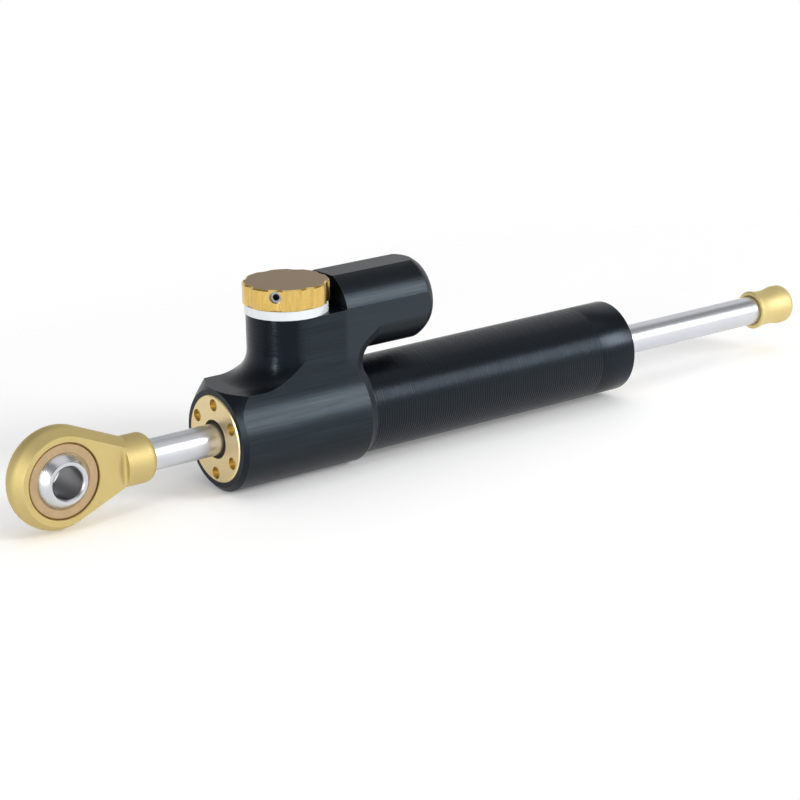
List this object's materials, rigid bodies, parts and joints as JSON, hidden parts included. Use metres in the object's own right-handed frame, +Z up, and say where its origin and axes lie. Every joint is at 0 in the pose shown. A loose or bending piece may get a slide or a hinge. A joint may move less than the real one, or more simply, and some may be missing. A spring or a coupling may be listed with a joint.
{
  "type": "steering damper",
  "caption": "Linear steering damper: a chromed through rod with a ball-jointed eye and an end cap, a black tube to clamp, and a gold click knob on a boss with a small oil reservoir.",
  "frame": {"origin": "on the rod's axis, midway along the plain outside of the tube that a clamp grips", "axes": "+X along the rod, from the rod end towards the end cap; +Z up the knob's axis; the camera of the picture is on the -Y side"},
  "size_m": [0.2522, 0.0272, 0.0503],
  "materials": {
    "black_anodised": "black anodised, satin with milled sides",
    "tube_anodised": "black anodised, finely turned",
    "gland_gold": "gold anodised, faced",
    "knob_gold": "gold anodised, glossy",
    "pale_gold": "pale gold anodised, bead blasted",
    "hard_chrome": "hard chromed and polished",
    "bearing_steel": "ground and polished",
    "bronze": "turned bronze",
    "valve_brass": "turned brass",
    "steel": "turned steel",
    "spring_steel": "drawn spring steel",
    "plain_aluminium": "turned aluminium",
    "rubber": "moulded",
    "ring_plastic": "off-white",
    "band_plastic": "filled bearing plastic"
  },
  "bodies": {
    "damper_body": {"housing": "black_anodised", "damper_tube": "tube_anodised", "inner_tube": "plain_aluminium", "front_gland": "gland_gold", "rear_gland": "gland_gold", "front_wiper": "rubber", "rear_wiper": "rubber", "front_rod_seal": "rubber", "rear_rod_seal": "rubber", "front_guide_bush": "bronze", "rear_guide_bush": "bronze", "front_gland_o_ring": "rubber", "rear_gland_o_ring": "rubber", "knob_ring": "ring_plastic", "valve_cartridge": "valve_brass", "cartridge_o_rings": "rubber", "detent_ball": "bearing_steel", "detent_spring": "spring_steel", "reservoir_cap": "plain_aluminium", "reservoir_o_ring": "rubber", "reservoir_snap_ring": "spring_steel", "compensator_spring": "spring_steel"},
    "sliding_band": {"piston_band": "band_plastic"},
    "rod_assembly": {"rod": "hard_chrome", "piston": "plain_aluminium", "piston_clips": "spring_steel", "rod_end_eye": "pale_gold", "bearing_race": "bronze", "end_cap": "pale_gold"},
    "eye_ball": {"bearing_ball": "bearing_steel"},
    "knob": {"adjuster_knob": "knob_gold", "knob_grub_screw": "steel", "adjuster_spindle": "steel", "spindle_o_ring": "rubber"},
    "needle": {"adjuster_needle": "steel"},
    "compensator": {"compensator_piston": "plain_aluminium", "compensator_o_ring": "rubber"}
  },
  "joints": [
    {"name": "rod_slide", "type": "slide", "parent": "damper_body", "child": "sliding_band", "axis": [1, 0, 0], "range_m": [-0.054, 0.0188]},
    {"name": "rod_spin", "type": "hinge", "parent": "sliding_band", "child": "rod_assembly", "pos_m": [0, 0, 0], "axis": [1, 0, 0], "continuous": true},
    {"name": "ball_tilt", "type": "hinge", "parent": "rod_assembly", "child": "eye_ball", "pos_m": [-0.12855, 0, 0], "axis": [0, 0, 1], "range_deg": [-13, 13]},
    {"name": "knob_turn", "type": "hinge", "parent": "damper_body", "child": "knob", "pos_m": [-0.0617, 0, 0.031], "axis": [0, 0, 1], "range_deg": [-180, 180]},
    {"name": "needle_lift", "type": "slide", "parent": "damper_body", "child": "needle", "axis": [0, 0, 1], "range_m": [-0.0004, 0.0004]},
    {"name": "compensator_slide", "type": "slide", "parent": "damper_body", "child": "compensator", "axis": [1, 0, 0], "range_m": [-0.002, 0.002], "stiffness_N_per_m": 400, "deforming": ["compensator_spring"]}
  ],
  "couplings": [
    {"joint": "needle_lift", "follows": "knob_turn", "m_per_rad": 0.00012732}
  ]
}
